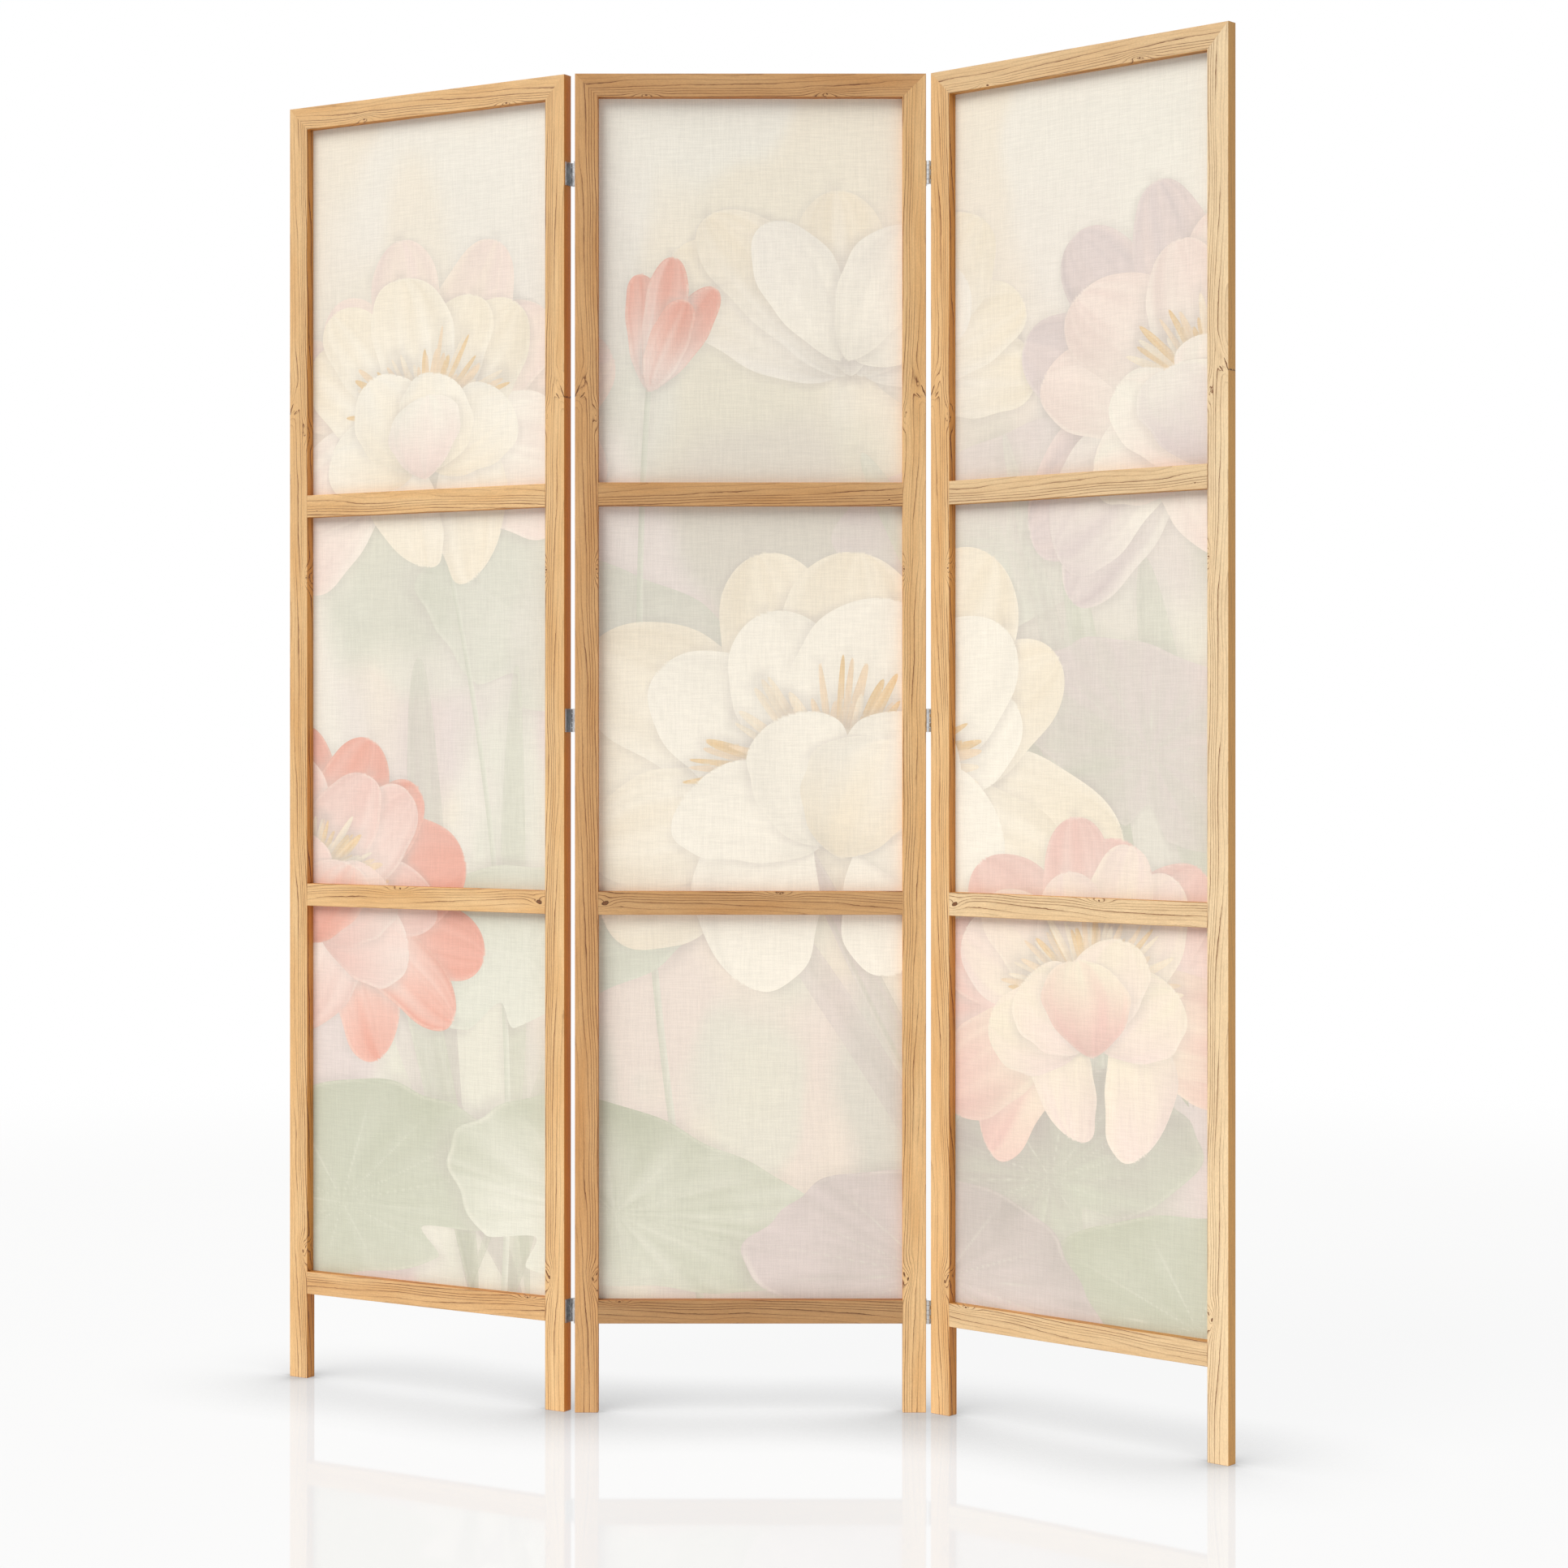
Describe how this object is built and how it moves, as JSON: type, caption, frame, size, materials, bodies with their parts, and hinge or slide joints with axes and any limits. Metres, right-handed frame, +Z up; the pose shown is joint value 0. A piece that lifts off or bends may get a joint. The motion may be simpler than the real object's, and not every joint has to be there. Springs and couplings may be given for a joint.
{
  "type": "folding screen",
  "caption": "Free-standing room screen of tall framed cloth panels, hinged edge to edge so that they fold flat or stand in a zigzag.",
  "frame": {"origin": "on the floor, under the middle of the box round the whole screen as it stands at rest", "axes": "+X to the right seen from the printed front, along the centre panel; +Y to the back; +Z up"},
  "size_m": [1.207, 0.5428, 1.716],
  "materials": {
    "pine": "planed pine under clear satin varnish",
    "canvas": "woven cloth, printed on the front",
    "hinge_steel": "rolled sheet, nickel plated",
    "screw_steel": "zinc plated",
    "nail_steel": "bare strip steel",
    "staple_wire": "galvanised flat wire"
  },
  "bodies": {
    "left_panel": {"left_panel_left_stile": "pine", "left_panel_right_stile": "pine", "left_panel_top_rail": "pine", "left_panel_upper_rail": "pine", "left_panel_lower_rail": "pine", "left_panel_bottom_rail": "pine", "left_panel_canvas": "canvas", "left_panel_mitre_nails": "nail_steel", "left_panel_staples": "staple_wire", "left_hinge_bottom_swing_plate": "hinge_steel", "left_hinge_middle_swing_plate": "hinge_steel", "left_hinge_top_swing_plate": "hinge_steel", "left_hinge_swing_screws": "screw_steel"},
    "centre_panel": {"centre_panel_left_stile": "pine", "centre_panel_right_stile": "pine", "centre_panel_top_rail": "pine", "centre_panel_upper_rail": "pine", "centre_panel_lower_rail": "pine", "centre_panel_bottom_rail": "pine", "centre_panel_canvas": "canvas", "centre_panel_mitre_nails": "nail_steel", "centre_panel_staples": "staple_wire", "left_hinge_bottom_fixed_plate": "hinge_steel", "left_hinge_bottom_pin": "hinge_steel", "left_hinge_middle_fixed_plate": "hinge_steel", "left_hinge_middle_pin": "hinge_steel", "left_hinge_top_fixed_plate": "hinge_steel", "left_hinge_top_pin": "hinge_steel", "left_hinge_fixed_screws": "screw_steel", "right_hinge_bottom_fixed_plate": "hinge_steel", "right_hinge_bottom_pin": "hinge_steel", "right_hinge_middle_fixed_plate": "hinge_steel", "right_hinge_middle_pin": "hinge_steel", "right_hinge_top_fixed_plate": "hinge_steel", "right_hinge_top_pin": "hinge_steel", "right_hinge_fixed_screws": "screw_steel"},
    "right_panel": {"right_panel_left_stile": "pine", "right_panel_right_stile": "pine", "right_panel_top_rail": "pine", "right_panel_upper_rail": "pine", "right_panel_lower_rail": "pine", "right_panel_bottom_rail": "pine", "right_panel_canvas": "canvas", "right_panel_mitre_nails": "nail_steel", "right_panel_staples": "staple_wire", "right_hinge_bottom_swing_plate": "hinge_steel", "right_hinge_middle_swing_plate": "hinge_steel", "right_hinge_top_swing_plate": "hinge_steel", "right_hinge_swing_screws": "screw_steel"}
  },
  "joints": [
    {"name": "left_fold", "type": "hinge", "parent": "centre_panel", "child": "left_panel", "pos_m": [-0.20483, 0.04319, 0.858], "axis": [0, 0, -1], "range_deg": [-38.5, 149.5]},
    {"name": "right_fold", "type": "hinge", "parent": "centre_panel", "child": "right_panel", "pos_m": [0.25067, 0.02418, 0.858], "axis": [0, 0, -1], "range_deg": [-49, 139]}
  ]
}
